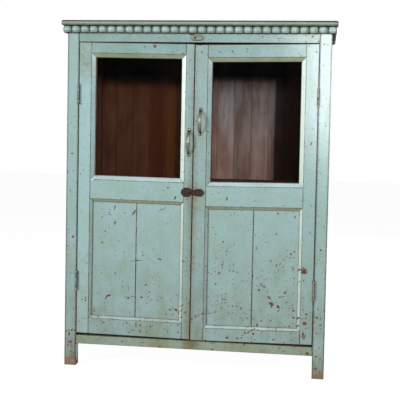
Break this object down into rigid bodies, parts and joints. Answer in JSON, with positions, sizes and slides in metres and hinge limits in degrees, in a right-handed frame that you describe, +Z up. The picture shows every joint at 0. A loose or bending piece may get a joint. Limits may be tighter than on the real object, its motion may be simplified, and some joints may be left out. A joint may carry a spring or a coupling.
{
  "type": "two-door glazed cupboard",
  "caption": "Painted wooden cupboard with glazed and panelled doors on butt hinges, a beaded cornice, bow handles, a turn button and a hasp, standing on its corner posts.",
  "frame": {"origin": "on the floor under the middle of the top board", "axes": "+Z up, +X to the right of someone facing the doors, +Y to the back; the doors face -Y"},
  "size_m": [1.25, 0.452, 1.5925],
  "materials": {
    "painted_wood": "old pale blue-green gloss paint, chipped and grimy",
    "bare_wood": "unpainted dark brown boards",
    "glass": "clear window glass",
    "brass": "dull aged brass",
    "iron": "rusty wrought iron",
    "hinge_steel": "steel with worn paint"
  },
  "bodies": {
    "carcass": {"back_boards": "bare_wood", "floor_bearers": "bare_wood", "floor_boards": "bare_wood", "frame_hinge_leaves": "hinge_steel", "front_bead_moulding": "painted_wood", "front_bottom_rail": "painted_wood", "front_left_post": "painted_wood", "front_right_post": "painted_wood", "front_top_rail": "painted_wood", "hinge_pins": "hinge_steel", "left_bead_moulding": "painted_wood", "left_side_bottom_rail": "painted_wood", "left_side_lower_panel": "painted_wood", "left_side_middle_rail": "painted_wood", "left_side_top_rail": "painted_wood", "left_side_upper_panel": "painted_wood", "rear_bottom_rail": "bare_wood", "rear_left_post": "painted_wood", "rear_right_post": "painted_wood", "rear_top_rail": "bare_wood", "right_bead_moulding": "painted_wood", "right_side_bottom_rail": "painted_wood", "right_side_lower_panel": "painted_wood", "right_side_middle_rail": "painted_wood", "right_side_top_rail": "painted_wood", "right_side_upper_panel": "painted_wood", "shelf_bearers": "bare_wood", "shelf_boards": "bare_wood", "top_board": "painted_wood", "turn_button_nail": "iron"},
    "right_door": {"hasp_leaf": "iron", "hasp_pin": "iron", "right_door_bottom_rail": "painted_wood", "right_door_glass": "glass", "right_door_glazing_beads": "painted_wood", "right_door_hinge_leaves": "hinge_steel", "right_door_hinge_stile": "painted_wood", "right_door_lock_rail": "painted_wood", "right_door_meeting_stile": "painted_wood", "right_door_panel": "painted_wood", "right_door_top_rail": "painted_wood", "right_handle": "brass"},
    "hasp": {"hasp_strap": "iron"},
    "left_door": {"left_door_bottom_rail": "painted_wood", "left_door_glass": "glass", "left_door_glazing_beads": "painted_wood", "left_door_hinge_leaves": "hinge_steel", "left_door_hinge_stile": "painted_wood", "left_door_lock_rail": "painted_wood", "left_door_meeting_stile": "painted_wood", "left_door_panel": "painted_wood", "left_door_top_rail": "painted_wood", "left_handle": "brass", "staple": "iron", "staple_plate": "iron"},
    "button": {"turn_button": "painted_wood"}
  },
  "joints": [
    {"name": "left_door_swing", "type": "hinge", "parent": "carcass", "child": "left_door", "pos_m": [-0.545, -0.1994, 0.83], "axis": [0, 0, -1], "range_deg": [0, 170]},
    {"name": "right_door_swing", "type": "hinge", "parent": "carcass", "child": "right_door", "pos_m": [0.545, -0.1994, 0.83], "axis": [0, 0, 1], "range_deg": [0, 170]},
    {"name": "hasp_swing", "type": "hinge", "parent": "right_door", "child": "hasp", "pos_m": [-0.0059, -0.1983, 0.822], "axis": [0, 0, -1], "range_deg": [0, 178]},
    {"name": "button_turn", "type": "hinge", "parent": "carcass", "child": "button", "pos_m": [-0.0105, -0.1986, 1.517], "axis": [0, 1, 0], "range_deg": [0, 90]}
  ]
}
